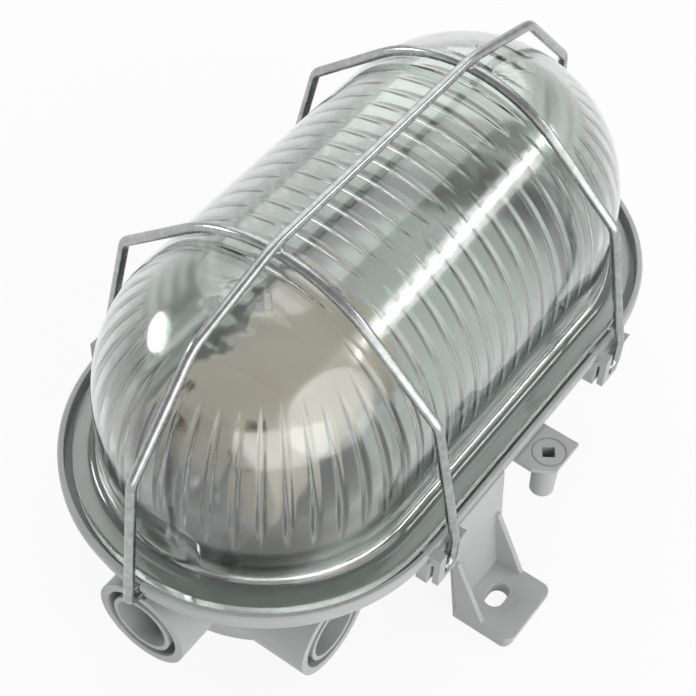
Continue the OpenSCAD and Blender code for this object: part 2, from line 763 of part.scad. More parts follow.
// Brass barrels in the two rear pockets
module holder_terminals() {
    barrel_in = 1.5;
    color("#c9a24a") for (side = [-1, 1]) difference() {
        translate([-holder_back + barrel_in, side * terminal_y, lamp_z + terminal_rise]) rotate([0, 90, 0])
            cylinder(h = pocket_len - barrel_in, r = pocket_r - 2 * flush, $fn = 32);
        translate([-holder_back - 1, side * terminal_y, lamp_z + terminal_rise]) rotate([0, 90, 0])
            cylinder(h = lead_end + 2, r = lead_r + flush, $fn = 32);
        post(-clamp_at, side * terminal_y, lamp_z + terminal_rise, lamp_z + terminal_rise + pocket_r + 1,
            clamp_r + flush);
    }
}

module holder_terminal_screws() {
    low = lamp_z + terminal_rise + lead_r + 2 * flush;
    color("#b9bcc0") for (side = [-1, 1]) post(-clamp_at, side * terminal_y, low, low + clamp_len, clamp_r);
}

// Steel angle: foot on the pan, upright behind the lampholder
module holder_bracket() {
    top_z = lamp_z - 3;
    color("#b4b8ba") difference() {
        translate([-holder_back - bracket_t, -bracket_w / 2, bracket_foot_z]) {
            cube([bracket_t, bracket_w, top_z - bracket_foot_z]);
            cube([bracket_toe + bracket_t, bracket_w, bracket_t]);
        }
        for (side = [-1, 1]) {
            post(-bracket_screw_x, side * bracket_screw_y, bracket_foot_z - 1, bracket_foot_z + bracket_t + 1,
                screw_r + screw_room);
            translate([-holder_back - bracket_t - 1, side * holder_screw_y, holder_screw_z]) rotate([0, 90, 0])
                cylinder(h = bracket_t + 2, r = screw_r + screw_room);
        }
    }
}

module holder_screws() {
    color("#b9bcc0") for (side = [-1, 1])
        translate([-holder_back - bracket_t, side * holder_screw_y, holder_screw_z]) rotate([0, -90, 0])
            pan_screw(bracket_t + holder_screw_len);
}

// Two-pole strip on the tub floor, with a chimney over each clamp screw
module terminal_strip() {
    chimney_r = clamp_r + 1.7;
    hole_r = clamp_r + 0.5;
    color("#e4e2da") difference() {
        union() {
            translate([strip_x - strip_len / 2, -strip_w / 2, floor_t])
                cube([strip_len, strip_w, strip_h - chimney_h]);
            for (side = [-1, 1], end = [-1, 1])
                post(strip_x + end * clamp_x, side * pole_y, floor_t + 1, floor_t + strip_h, chimney_r);
        }
        post(strip_x, 0, floor_t - 1, floor_t + strip_h, screw_r + screw_room);
        for (side = [-1, 1]) {
            translate([strip_x - strip_len, side * pole_y, pole_z]) rotate([0, 90, 0])
                cylinder(h = 2 * strip_len, r = tube_r + flush);
            for (end = [-1, 1]) post(strip_x + end * clamp_x, side * pole_y, pole_z, floor_t + strip_h + 1, hole_r);
        }
    }
}

module terminal_tubes() {
    end_gap = 1.5;
    color("#c9a24a") for (side = [-1, 1]) difference() {
        translate([strip_x - strip_len / 2 + end_gap, side * pole_y, pole_z]) rotate([0, 90, 0])
            cylinder(h = strip_len - 2 * end_gap, r = tube_r, $fn = 32);
        translate([strip_x - strip_len, side * pole_y, pole_z]) rotate([0, 90, 0])
            cylinder(h = 2 * strip_len, r = lead_r + flush, $fn = 32);
        for (end = [-1, 1])
            post(strip_x + end * clamp_x, side * pole_y, pole_z, pole_z + tube_r + 1, clamp_r + flush);
    }
}

module terminal_screws() {
    low = pole_z + lead_r + 2 * flush;
    color("#b9bcc0") for (side = [-1, 1], end = [-1, 1])
        post(strip_x + end * clamp_x, side * pole_y, low, low + clamp_len, clamp_r);
}

module strip_screw() {
    head_z = floor_t + strip_h - chimney_h;
    color("#b9bcc0") translate([strip_x, 0, head_z])
        pan_screw(head_z - floor_t + screw_bite - 0.2, hh = 1.6, hr = 2.4);
}

function arc_points(centre, r, a0, a1, n) = [for (i = [0 : n]) let (a = a0 + (a1 - a0) * i / n)
    [centre[0] + r * cos(a), centre[1], centre[2] + r * sin(a)]];

// Route of a lead: out of the strip, under the pan, up behind the lampholder and into its pocket
function lead_route(side) = let (y1 = side * terminal_y, y0 = side * pole_y, up = lamp_z + terminal_rise,
    strip_end = strip_x - strip_len / 2) concat(
    [[strip_x - clamp_x + clamp_r, y0, pole_z], [strip_end - lead_end, y0, pole_z],
        [-half_len + 4 * lead_bend, (y0 + y1) / 2, pole_z], [-half_len + 2 * lead_bend, y1, pole_z],
        [-lead_rise_x + 2 * lead_bend, y1, pole_z]],
    arc_points([-lead_rise_x + lead_bend, y1, pole_z + lead_bend], lead_bend, 270, 180, 6),
    arc_points([-lead_rise_x + lead_top_bend, y1, up - lead_top_bend], lead_top_bend, 180, 90, 6),
    [[-holder_back + lead_end, y1, up]]);

// Round tube of 10 sides swept along a route
module sweep_tube(route, r) {
    sides = 10;
    n = len(route);
    rings = [for (i = [0 : n - 1]) let (
        t = unit(route[min(i + 1, n - 1)] - route[max(i - 1, 0)]),
        a = unit(cross(t, [0, 1, 0.001])),
        b = cross(a, t))
        for (k = [0 : sides - 1]) route[i] + r * (a * cos(360 * k / sides) + b * sin(360 * k / sides))];
    walls = [for (i = [0 : n - 2], k = [0 : sides - 1]) let (k2 = (k + 1) % sides)
        [i * sides + k, i * sides + k2, (i + 1) * sides + k2, (i + 1) * sides + k]];
    ends = [[for (k = [sides - 1 : -1 : 0]) k], [for (k = [0 : sides - 1]) (n - 1) * sides + k]];
    polyhedron(rings, concat(walls, ends));
}

module live_lead() {
    color("#6b4a2f") sweep_tube(lead_route(1), lead_r);
}

module neutral_lead() {
    color("#3c5f94") sweep_tube(lead_route(-1), lead_r);
}

housing();
gasket();
glass_dome();
guard_front_hoop();
guard_rear_hoop();
guard_long_wire();
reflector();
reflector_screw();
lampholder();
lampholder_shell();
centre_contact();
holder_terminals();
holder_terminal_screws();
holder_bracket();
holder_screws();
bracket_screws();
terminal_strip();
terminal_tubes();
terminal_screws();
strip_screw();
live_lead();
neutral_lead();
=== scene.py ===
import math
import bmesh
import bpy
from mathutils import Matrix, Vector


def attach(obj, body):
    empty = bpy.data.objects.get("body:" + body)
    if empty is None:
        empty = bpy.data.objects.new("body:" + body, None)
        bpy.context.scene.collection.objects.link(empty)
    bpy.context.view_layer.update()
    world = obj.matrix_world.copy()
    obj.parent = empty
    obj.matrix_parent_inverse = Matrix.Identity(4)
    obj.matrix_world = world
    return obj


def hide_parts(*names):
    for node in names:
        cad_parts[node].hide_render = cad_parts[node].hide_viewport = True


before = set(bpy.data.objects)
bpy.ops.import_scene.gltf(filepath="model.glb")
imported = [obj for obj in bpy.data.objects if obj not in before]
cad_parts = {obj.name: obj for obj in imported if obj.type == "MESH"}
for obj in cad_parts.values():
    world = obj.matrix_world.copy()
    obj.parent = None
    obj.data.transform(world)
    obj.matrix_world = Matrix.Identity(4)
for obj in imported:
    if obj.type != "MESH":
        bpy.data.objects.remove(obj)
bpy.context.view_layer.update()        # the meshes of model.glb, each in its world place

scene = bpy.context.scene
mm = 0.001

cameraView = {
    "azimuth": -56.4,        # degrees round Z, 0 looks along +Y
    "elevation": 50.49,
    "roll": 3.24,
    "distance": 0.4391,
    "target": (-0.00737, 0.00005, 0.03704),
    "lens": 91.04,           # mm, as is the width of the sensor
    "sensor": 36.0,
    "nearest": 0.01,         # metres
}

studio = {
    "worldLight": 0.2,
    "worldTint": (0.97, 0.985, 1.0),
    "whiteBelow": 0.04,      # height in the sky, as the sine of its angle, up to which it is plain white
    "ceilingFrom": 0.4,      # and from which it is the ceiling
    "ceilingGrey": 0.48,
    "floorColor": (0.9, 0.9, 0.9),
    "floorWhite": 0.9,       # share of plain white that rays from the camera, gloss and glass see
    "floorSize": 6.0,
}

softboxes = {
    # name: (place, aims at, width, height, watts, shape)
    "topBox": ((0.55, 0.46, 0.88), (0.0, 0.0, 0.06), 1.5, 1.6, 8.0, "ELLIPSE"),
    "nearBox": ((-0.14, -0.95, 0.46), (0.0, 0.0, 0.05), 1.25, 0.95, 5.6, "ELLIPSE"),
    "frontBox": ((-0.55, -0.58, 0.22), (-0.05, -0.02, 0.03), 0.9, 0.36, 1.9, "RECTANGLE"),
    "stripBox": ((0.53, -0.56, 0.57), (0.0, 0.0, 0.085), 0.36, 0.05, 0.7, "RECTANGLE"),
    "glowBox": ((0.58, -0.63, 0.62), (0.0, 0.0, 0.085), 0.5, 0.2, 0.7, "ELLIPSE"),
    "endBox": ((-0.33, 0.8, 0.38), (-0.06, 0.01, 0.08), 0.34, 0.2, 1.9, "ELLIPSE"),
}


def feed(tree, socket, value):
    # A socket is linked and a number is set
    if isinstance(value, bpy.types.NodeSocket):
        tree.links.new(value, socket)
    else:
        socket.default_value = value


def calc(tree, operation, *values, kind="ShaderNodeMath"):
    # One math node; each value is a number or a socket
    node = tree.nodes.new(kind)
    node.operation = operation
    for socket, value in zip(node.inputs, values):
        feed(tree, socket, value)
    return node.outputs[0]


def vectorCalc(tree, operation, *vectors):
    return calc(tree, operation, *vectors, kind="ShaderNodeVectorMath")


def scaleVector(tree, vector, factor):
    node = tree.nodes.new("ShaderNodeVectorMath")
    node.operation = "SCALE"
    tree.links.new(vector, node.inputs[0])
    feed(tree, node.inputs["Scale"], factor)
    return node.outputs[0]


def splitVector(tree, vector):
    node = tree.nodes.new("ShaderNodeSeparateXYZ")
    tree.links.new(vector, node.inputs[0])
    return node.outputs


def joinVector(tree, *values):
    node = tree.nodes.new("ShaderNodeCombineXYZ")
    for socket, value in zip(node.inputs, values):
        feed(tree, socket, value)
    return node.outputs[0]


def choose(tree, factor, first, second):
    # first where the factor is 0 and second where it is 1
    mix = tree.nodes.new("ShaderNodeMix")
    for socket, value in zip(mix.inputs[:1] + mix.inputs[2:4], (factor, first, second)):
        feed(tree, socket, value)
    return mix.outputs[0]


def mapRange(tree, value, source, target):
    # Carries the range source, given by its two ends, over to the range target
    node = tree.nodes.new("ShaderNodeMapRange")
    for name, limit in zip(("From Min", "From Max", "To Min", "To Max"), (*source, *target)):
        node.inputs[name].default_value = limit
    tree.links.new(value, node.inputs["Value"])
    return node.outputs[0]


def makeCamera():
    view = cameraView
    azimuth = math.radians(view["azimuth"])
    elevation = math.radians(view["elevation"])
    level = math.cos(elevation)
    back = Vector((math.sin(azimuth) * level, -math.cos(azimuth) * level, math.sin(elevation)))
    side = Vector((math.cos(azimuth), math.sin(azimuth), 0.0))
    up = back.cross(side)
    roll = math.radians(view["roll"])
    rolledSide = side * math.cos(roll) + up * math.sin(roll)
    rolledUp = up * math.cos(roll) - side * math.sin(roll)
    data = bpy.data.cameras.new("photoCamera")
    data.sensor_width = view["sensor"]
    data.lens = view["lens"]
    data.clip_start = view["nearest"]
    camera = bpy.data.objects.new("photoCamera", data)
    turn = Matrix((rolledSide, rolledUp, back)).transposed().to_4x4()
    camera.matrix_world = Matrix.Translation(Vector(view["target"]) + back * view["distance"]) @ turn
    scene.collection.objects.link(camera)
    scene.camera = camera


def seenDirectly(tree):
    # 1 for rays of the camera, of gloss and of glass
    path = tree.nodes.new("ShaderNodeLightPath").outputs
    first = calc(tree, "MAXIMUM", path["Is Camera Ray"], path["Is Glossy Ray"])
    return calc(tree, "MAXIMUM", first, path["Is Transmission Ray"])


def endShader(tree, outputKind, factor, first, second):
    # Two shaders, mixed by the factor, are the whole surface
    mix = tree.nodes.new("ShaderNodeMixShader")
    out = tree.nodes.new(outputKind)
    for socket, source in zip(mix.inputs, (factor, first.outputs[0], second.outputs[0])):
        tree.links.new(source, socket)
    tree.links.new(mix.outputs[0], out.inputs["Surface"])


def makeStudio():
    for name, (place, aim, width, height, watts, shape) in softboxes.items():
        data = bpy.data.lights.new(name, "AREA")
        data.shape = shape
        data.size = width
        data.size_y = height
        data.energy = watts
        lamp = bpy.data.objects.new(name, data)
        lamp.location = place
        lamp.rotation_euler = (Vector(aim) - Vector(place)).to_track_quat("-Z", "Y").to_euler()
        scene.collection.objects.link(lamp)
    scene.view_settings.view_transform = "Standard"

    world = bpy.data.worlds.new("studioWorld")
    scene.world = world
    world.use_nodes = True
    tree = world.node_tree
    tree.nodes.clear()
    plain = tree.nodes.new("ShaderNodeBackground")
    plain.inputs["Color"].default_value = (*studio["worldTint"], 1)
    plain.inputs["Strength"].default_value = studio["worldLight"]
    # White all round the horizon, and a plain grey ceiling that the camera never looks at
    seen = tree.nodes.new("ShaderNodeBackground")
    height = splitVector(tree, tree.nodes.new("ShaderNodeTexCoord").outputs["Generated"])["Z"]
    fade = mapRange(tree, height, (studio["whiteBelow"], studio["ceilingFrom"]), (1.0, studio["ceilingGrey"]))
    tree.links.new(fade, seen.inputs["Strength"])
    endShader(tree, "ShaderNodeOutputWorld", seenDirectly(tree), plain, seen)


def makeFloor():
    half = studio["floorSize"] / 2
    mesh = bpy.data.meshes.new("floor")
    corners = [(-half, -half, 0), (half, -half, 0), (half, half, 0), (-half, half, 0)]
    mesh.from_pydata(corners, [], [(0, 1, 2, 3)])
    floor = bpy.data.objects.new("floor", mesh)
    scene.collection.objects.link(floor)
    material = bpy.data.materials.new("floorPaper")
    material.use_nodes = True
    tree = material.node_tree
    tree.nodes.clear()
    paper = tree.nodes.new("ShaderNodeBsdfDiffuse")
    paper.inputs["Color"].default_value = (*studio["floorColor"], 1)
    white = tree.nodes.new("ShaderNodeEmission")
    white.inputs["Strength"].default_value = 1.0
    share = calc(tree, "MULTIPLY", seenDirectly(tree), studio["floorWhite"])
    endShader(tree, "ShaderNodeOutputMaterial", share, paper, white)
    mesh.materials.append(material)


skin = {
    "grainDetail": 3.0,
    "cloudDetail": 4.0,
    "cloudFrom": 0.3,        # the noise from here
    "cloudTo": 0.7,          # to here is spread over the two colours of a finish
    "edgeSamples": 6,
}


def makeGrainGroup():
    # Fine relief and soft colour variation of a moulded or rolled skin
    group = bpy.data.node_groups.new("skinGrain", "ShaderNodeTree")
    face = group.interface
    for name in ("Grain Size", "Cloud Size"):
        face.new_socket(name=name, in_out="INPUT", socket_type="NodeSocketFloat").default_value = 1.0
    for name in ("Grain", "Cloud"):
        face.new_socket(name=name, in_out="OUTPUT", socket_type="NodeSocketFloat")
    given = group.nodes.new("NodeGroupInput")
    result = group.nodes.new("NodeGroupOutput")
    place = group.nodes.new("ShaderNodeTexCoord")

    def noise(sizeName, detail):
        # the sizes are in millimetres
        texture = group.nodes.new("ShaderNodeTexNoise")
        texture.inputs["Detail"].default_value = detail
        group.links.new(place.outputs["Object"], texture.inputs["Vector"])
        group.links.new(calc(group, "DIVIDE", 1 / mm, given.outputs[sizeName]), texture.inputs["Scale"])
        return texture.outputs["Fac"]

    group.links.new(noise("Grain Size", skin["grainDetail"]), result.inputs["Grain"])
    cloud = noise("Cloud Size", skin["cloudDetail"])
    cloud = mapRange(group, cloud, (skin["cloudFrom"], skin["cloudTo"]), (0.0, 1.0))
    group.links.new(cloud, result.inputs["Cloud"])


def newMaterial(name):
    material = bpy.data.materials.new(name)
    material.use_nodes = True
    tree = material.node_tree
    shader = tree.nodes["Principled BSDF"]
    return material, tree, shader


def addGrain(tree, cloudSize, grainSize=None):
    node = tree.nodes.new("ShaderNodeGroup")
    node.node_tree = bpy.data.node_groups["skinGrain"]
    node.inputs["Cloud Size"].default_value = cloudSize
    if grainSize:
        node.inputs["Grain Size"].default_value = grainSize
    return node


def mixColors(tree, factor, first, second):
    mix = tree.nodes.new("ShaderNodeMix")
    mix.data_type = "RGBA"
    mix.inputs[6].default_value = (*first, 1)    # sockets 6 and 7 are its two colours
    mix.inputs[7].default_value = (*second, 1)
    tree.links.new(factor, mix.inputs[0])
    return mix.outputs[2]


def addRelief(tree, shader, height, depth, softEdge=0.0):
    bump = tree.nodes.new("ShaderNodeBump")
    bump.inputs["Strength"].default_value = 1.0
    bump.inputs["Distance"].default_value = depth
    tree.links.new(height, bump.inputs["Height"])
    if softEdge > 0:
        bevel = tree.nodes.new("ShaderNodeBevel")
        bevel.samples = skin["edgeSamples"]
        bevel.inputs["Radius"].default_value = softEdge
        tree.links.new(bevel.outputs[0], bump.inputs["Normal"])
    tree.links.new(bump.outputs[0], shader.inputs["Normal"])


# name: colours, how metallic, roughness from and to, sizes of grain and clouds in mm,
# depth of the grain and width of the softened edge in metres
finishes = {
    "housingPlastic": {
        "dark": (0.42, 0.442, 0.434), "light": (0.47, 0.492, 0.484), "metal": 0.0, "rough": (0.4, 0.52),
        "grain": 0.45, "depth": 0.012 * mm, "cloud": 14.0, "edge": 0.35 * mm},
    "guardWire": {
        "dark": (0.33, 0.352, 0.344), "light": (0.46, 0.485, 0.476), "metal": 1.0, "rough": (0.18, 0.34),
        "grain": 0.4, "depth": 0.006 * mm, "cloud": 2.2, "edge": 0.0},
    "gasketRubber": {
        "dark": (0.4, 0.435, 0.422), "light": (0.46, 0.5, 0.485), "metal": 0.0, "rough": (0.5, 0.7),
        "grain": 0.4, "depth": 0.01 * mm, "cloud": 5.0, "edge": 0.0},
    "reflectorSheet": {
        "dark": (0.33, 0.345, 0.34), "light": (0.4, 0.415, 0.41), "metal": 0.9, "rough": (0.14, 0.22),
        "grain": 0.5, "depth": 0.004 * mm, "cloud": 22.0, "edge": 0.2 * mm},
    "platedSteel": {
        "dark": (0.5, 0.51, 0.52), "light": (0.66, 0.67, 0.68), "metal": 1.0, "rough": (0.25, 0.42),
        "grain": 0.3, "depth": 0.006 * mm, "cloud": 3.0, "edge": 0.15 * mm},
    "holderPorcelain": {
        "dark": (0.7, 0.59, 0.48), "light": (0.76, 0.655, 0.545), "metal": 0.0, "rough": (0.14, 0.26),
        "grain": 0.8, "depth": 0.01 * mm, "cloud": 10.0, "edge": 0.5 * mm},
    "brass": {
        "dark": (0.55, 0.4, 0.18), "light": (0.75, 0.58, 0.3), "metal": 1.0, "rough": (0.22, 0.4),
        "grain": 0.4, "depth": 0.006 * mm, "cloud": 4.0, "edge": 0.1 * mm},
    "stripPlastic": {
        "dark": (0.72, 0.71, 0.66), "light": (0.8, 0.79, 0.74), "metal": 0.0, "rough": (0.35, 0.5),
        "grain": 0.4, "depth": 0.01 * mm, "cloud": 6.0, "edge": 0.2 * mm},
    "brownSleeve": {
        "dark": (0.06, 0.035, 0.022), "light": (0.09, 0.055, 0.035), "metal": 0.0, "rough": (0.4, 0.55),
        "grain": 0.4, "depth": 0.01 * mm, "cloud": 6.0, "edge": 0.0},
    "greySleeve": {
        "dark": (0.1, 0.1, 0.095), "light": (0.15, 0.15, 0.142), "metal": 0.0, "rough": (0.4, 0.55),
        "grain": 0.4, "depth": 0.01 * mm, "cloud": 6.0, "edge": 0.0},
}

glassFinish = {
    "tint": (0.81, 0.855, 0.83),
    "outerRough": 0.16,      # of the hazy outer face
    "innerRough": 0.03,      # of the ribbed inner one
    "skinRough": 0.06,       # of the plain reflections on both
    "ior": 1.48,
    "waveSize": 18.0,        # mm
    "waveDepth": 0.035 * mm,
}


def makeFinish(name):
    finish = finishes[name]
    material, tree, shader = newMaterial(name)
    grain = addGrain(tree, finish["cloud"], finish["grain"])
    color = mixColors(tree, grain.outputs["Cloud"], finish["dark"], finish["light"])
    rough = mapRange(tree, grain.outputs["Grain"], (0.0, 1.0), finish["rough"])
    tree.links.new(color, shader.inputs["Base Color"])
    tree.links.new(rough, shader.inputs["Roughness"])
    shader.inputs["Metallic"].default_value = finish["metal"]
    addRelief(tree, shader, grain.outputs["Grain"], finish["depth"], finish["edge"])
    return material


def outerFace(tree):
    # 1 on the outer face of the glass and 0 on the inner one, by the distance from the dome's axis
    x, y, z = splitVector(tree, tree.nodes.new("ShaderNodeTexCoord").outputs["Object"])
    past = calc(tree, "MAXIMUM", calc(tree, "SUBTRACT", calc(tree, "ABSOLUTE", x), dome["halfLen"] * mm), 0.0)
    rise = calc(tree, "MAXIMUM", calc(tree, "SUBTRACT", z, dome["axisZ"] * mm), 0.0)
    squares = [calc(tree, "MULTIPLY", value, value) for value in (past, y, rise)]
    away = calc(tree, "SQRT", calc(tree, "ADD", calc(tree, "ADD", squares[0], squares[1]), squares[2]))
    return calc(tree, "GREATER_THAN", away, (dome["inner"] + dome["outer"]) / 2 * mm)


def makeGlass():
    material, tree, shader = newMaterial("domeGlass")
    rough = choose(tree, outerFace(tree), glassFinish["innerRough"], glassFinish["outerRough"])
    tree.links.new(rough, shader.inputs["Roughness"])
    for name, value in (("Base Color", (*glassFinish["tint"], 1)), ("IOR", glassFinish["ior"]),
                        ("Transmission Weight", 1.0), ("Coat Weight", 1.0),
                        ("Coat Roughness", glassFinish["skinRough"])):
        shader.inputs[name].default_value = value
    wave = addGrain(tree, glassFinish["waveSize"])
    addRelief(tree, shader, wave.outputs["Cloud"], glassFinish["waveDepth"])
    return material


def newNodeTree(name, inputs):
    # Empty geometry tree with its named inputs; returns the tree, its input node and its output node
    tree = bpy.data.node_groups.new(name, "GeometryNodeTree")
    face = tree.interface
    face.new_socket(name="Geometry", in_out="INPUT", socket_type="NodeSocketGeometry")
    for socketName, kind in inputs:
        face.new_socket(name=socketName, in_out="INPUT", socket_type="NodeSocket" + kind)
    face.new_socket(name="Geometry", in_out="OUTPUT", socket_type="NodeSocketGeometry")
    return tree, tree.nodes.new("NodeGroupInput"), tree.nodes.new("NodeGroupOutput")


def shadeSmooth(tree, geometry, sharpAngle):
    # Faces shade smoothly, and edges stay sharp where the faces turn by more than the angle in degrees
    smooth = tree.nodes.new("GeometryNodeSetShadeSmooth")
    tree.links.new(geometry, smooth.inputs["Geometry"])
    turn = tree.nodes.new("GeometryNodeInputMeshEdgeAngle").outputs["Unsigned Angle"]
    sharp = tree.nodes.new("GeometryNodeSetShadeSmooth")
    sharp.domain = "EDGE"
    sharp.inputs["Shade Smooth"].default_value = False
    tree.links.new(calc(tree, "GREATER_THAN", turn, math.radians(sharpAngle)), sharp.inputs["Selection"])
    tree.links.new(smooth.outputs[0], sharp.inputs["Geometry"])
    return sharp.outputs[0]


def endTree(tree, out, geometry, material):
    # Every tree ends alike: instances made real, then the material
    real = tree.nodes.new("GeometryNodeRealizeInstances")
    paint = tree.nodes.new("GeometryNodeSetMaterial")
    tree.links.new(geometry, real.inputs[0])
    tree.links.new(real.outputs[0], paint.inputs["Geometry"])
    tree.links.new(material, paint.inputs["Material"])
    tree.links.new(paint.outputs[0], out.inputs[0])


def meshObject(name, points, closed=False, chain=True):
    # Points in mm, joined in their order or loose
    mesh = bpy.data.meshes.new(name)
    edges = [(i, i + 1) for i in range(len(points) - 1)] if chain else []
    if closed:
        edges.append((len(points) - 1, 0))
    mesh.from_pydata([tuple(c * mm for c in point) for point in points], edges, [])
    thing = bpy.data.objects.new(name, mesh)
    scene.collection.objects.link(thing)
    return thing


def grow(name, base, tree, values, body, nodes=()):
    # Runs the tree on its base, keeps the plain mesh as a piece on the body,
    # and drops the modifier and the base
    modifier = base.modifiers.new(name, "NODES")
    modifier.node_group = tree
    for item in tree.interface.items_tree:
        if item.in_out == "INPUT" and item.name in values:
            modifier[item.identifier] = values[item.name]
    graph = bpy.context.evaluated_depsgraph_get()
    mesh = bpy.data.meshes.new_from_object(base.evaluated_get(graph))
    mesh.name = name
    base.modifiers.remove(modifier)
    bpy.data.objects.remove(base)
    piece = bpy.data.objects.new(name, mesh)
    scene.collection.objects.link(piece)
    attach(piece, body)
    if nodes:
        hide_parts(*nodes)
    print("stage:", name, len(mesh.polygons), "faces")


dome = {
    # in mm
    "halfLen": 40.5,         # half of the straight part
    "inner": 37.7,           # radius of the inner wall
    "outer": 40.5,
    "flange": 46.7,
    "bottom": 31.0,
    "flangeTop": 34.2,
    "axisZ": 54.5,           # height of the centre of the round part
    "fillet": 3.2,
    "edge": 0.6,
    "ribPitch": 5.8,
    "ribRadius": 1.3,
    "ribProud": 0.7,
    "ribFade": 0.1,
    "ribFoot": 8.0,          # how far a side rib runs down below the axis
    "topLong": 59.5,         # degrees above the axis at which the side ribs end
    "topShort": 44.5,        # and the ribs of the round ends
    "endRibs": 20,
    "endSlack": 0.001,       # past the straight part, so that its last column still counts to it
    "crownHalf": 24.0,       # degrees to each side of the top
    "endCrowns": 3,          # shorter crown ribs past each end
    "endCrownHalf": 17.0,    # degrees to each side of the first of them
    "endCrownLess": 5.0,     # and fewer for each one further out
    "leastBay": 0.25,        # of a pitch, the narrowest that the last straight bay may be
    "perRib": 16,            # columns of the mesh to one rib
    "outerSteps": 20,        # steps of the section's arcs
    "filletSteps": 6,
    "edgeSteps": 4,
    "innerSteps": 42,
    "footDrop": 11.0,        # below the axis, where the close rows of the inner wall begin
    "footRows": 10,
    "doubles": 0.004,        # points nearer to each other than this are one
    "sharpAngle": 65.0,      # degrees
}


def ovalColumns():
    # Points at the inner radius, all round the oval; the near and far sides have the same places along X
    half, r, step = dome["halfLen"], dome["inner"], dome["ribPitch"] / dome["perRib"]
    count = int(half / step)
    straight = [-half] + [i * step for i in range(-count, count + 1)]
    arc = dome["endRibs"] * dome["perRib"]
    turns = [-90 + 180 * i / arc for i in range(arc)]
    near = [(x, -r, 0) for x in straight]
    right = [(half + r * math.cos(math.radians(a)), r * math.sin(math.radians(a)), 0) for a in turns]
    return near + right + [(-x, -y, 0) for x, y, z in near + right]


def glassSection():
    # (radius, 1 where the wall is the inner one, height),
    # from the outer top round the flange to the inner top
    def arc(cx, cz, r, a0, a1, steps):
        turns = [math.radians(a0 + (a1 - a0) * i / steps) for i in range(steps + 1)]
        return [(cx + r * math.cos(a), cz + r * math.sin(a)) for a in turns]

    d = dome
    fillet, edge = d["fillet"], d["edge"]
    outside = arc(0, d["axisZ"], d["outer"], 90, 0, d["outerSteps"])
    outside += arc(d["outer"] + fillet, d["flangeTop"] + fillet, fillet, 180, 270, d["filletSteps"])
    outside += arc(d["flange"] - edge, d["flangeTop"] - edge, edge, 90, 0, d["edgeSteps"])
    outside += [(d["flange"], d["bottom"]), (d["inner"], d["bottom"])]
    row = d["footDrop"] / d["footRows"]
    foot = [(d["inner"], d["axisZ"] - d["footDrop"] + i * row) for i in range(d["footRows"])]
    inside = foot + arc(0, d["axisZ"], d["inner"], 0, 90, d["innerSteps"])
    return [(r, 0, z) for r, z in outside] + [(r, 1, z) for r, z in inside]


